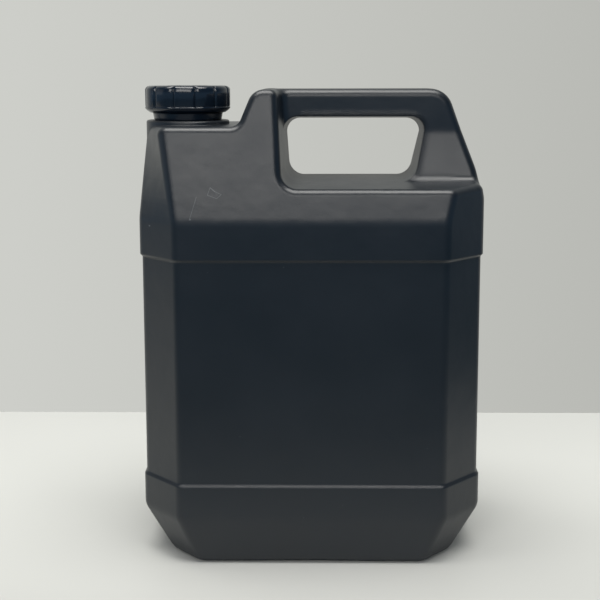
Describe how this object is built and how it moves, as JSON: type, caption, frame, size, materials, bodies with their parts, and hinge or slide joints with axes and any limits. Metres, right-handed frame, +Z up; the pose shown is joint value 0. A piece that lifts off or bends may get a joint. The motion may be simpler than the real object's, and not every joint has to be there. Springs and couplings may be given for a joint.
{
  "type": "plastic jug",
  "caption": "Upright blow-moulded jug with chamfered corners, a handle moulded into its top at one end and an upright neck with a grooved screw cap at the other.",
  "frame": {"origin": "centre of the footprint on the ground, below the middle of the body", "axes": "+Z up, +X to the right along the front (the handle's end), +Y to the back; the neck and its cap are at -X"},
  "size_m": [0.19, 0.106, 0.2629],
  "materials": {
    "body_plastic": "satin black HDPE",
    "cap_plastic": "glossy black",
    "liner": "matte foam"
  },
  "bodies": {
    "jug": {"jug_body": "body_plastic", "tamper_ring": "cap_plastic"},
    "seal": {"sealing_ring": "liner"},
    "cap": {"screw_cap": "cap_plastic"}
  },
  "joints": [
    {"name": "cap_rise", "type": "slide", "parent": "jug", "child": "seal", "axis": [0, 0, 1], "range_m": [0, 0.0111]},
    {"name": "cap_turn", "type": "hinge", "parent": "seal", "child": "cap", "pos_m": [-0.0705, 0, 0.25], "axis": [0, 0, 1], "range_deg": [0, 990]}
  ],
  "couplings": [
    {"joint": "cap_rise", "follows": "cap_turn", "m_per_rad": 0.00063662}
  ]
}
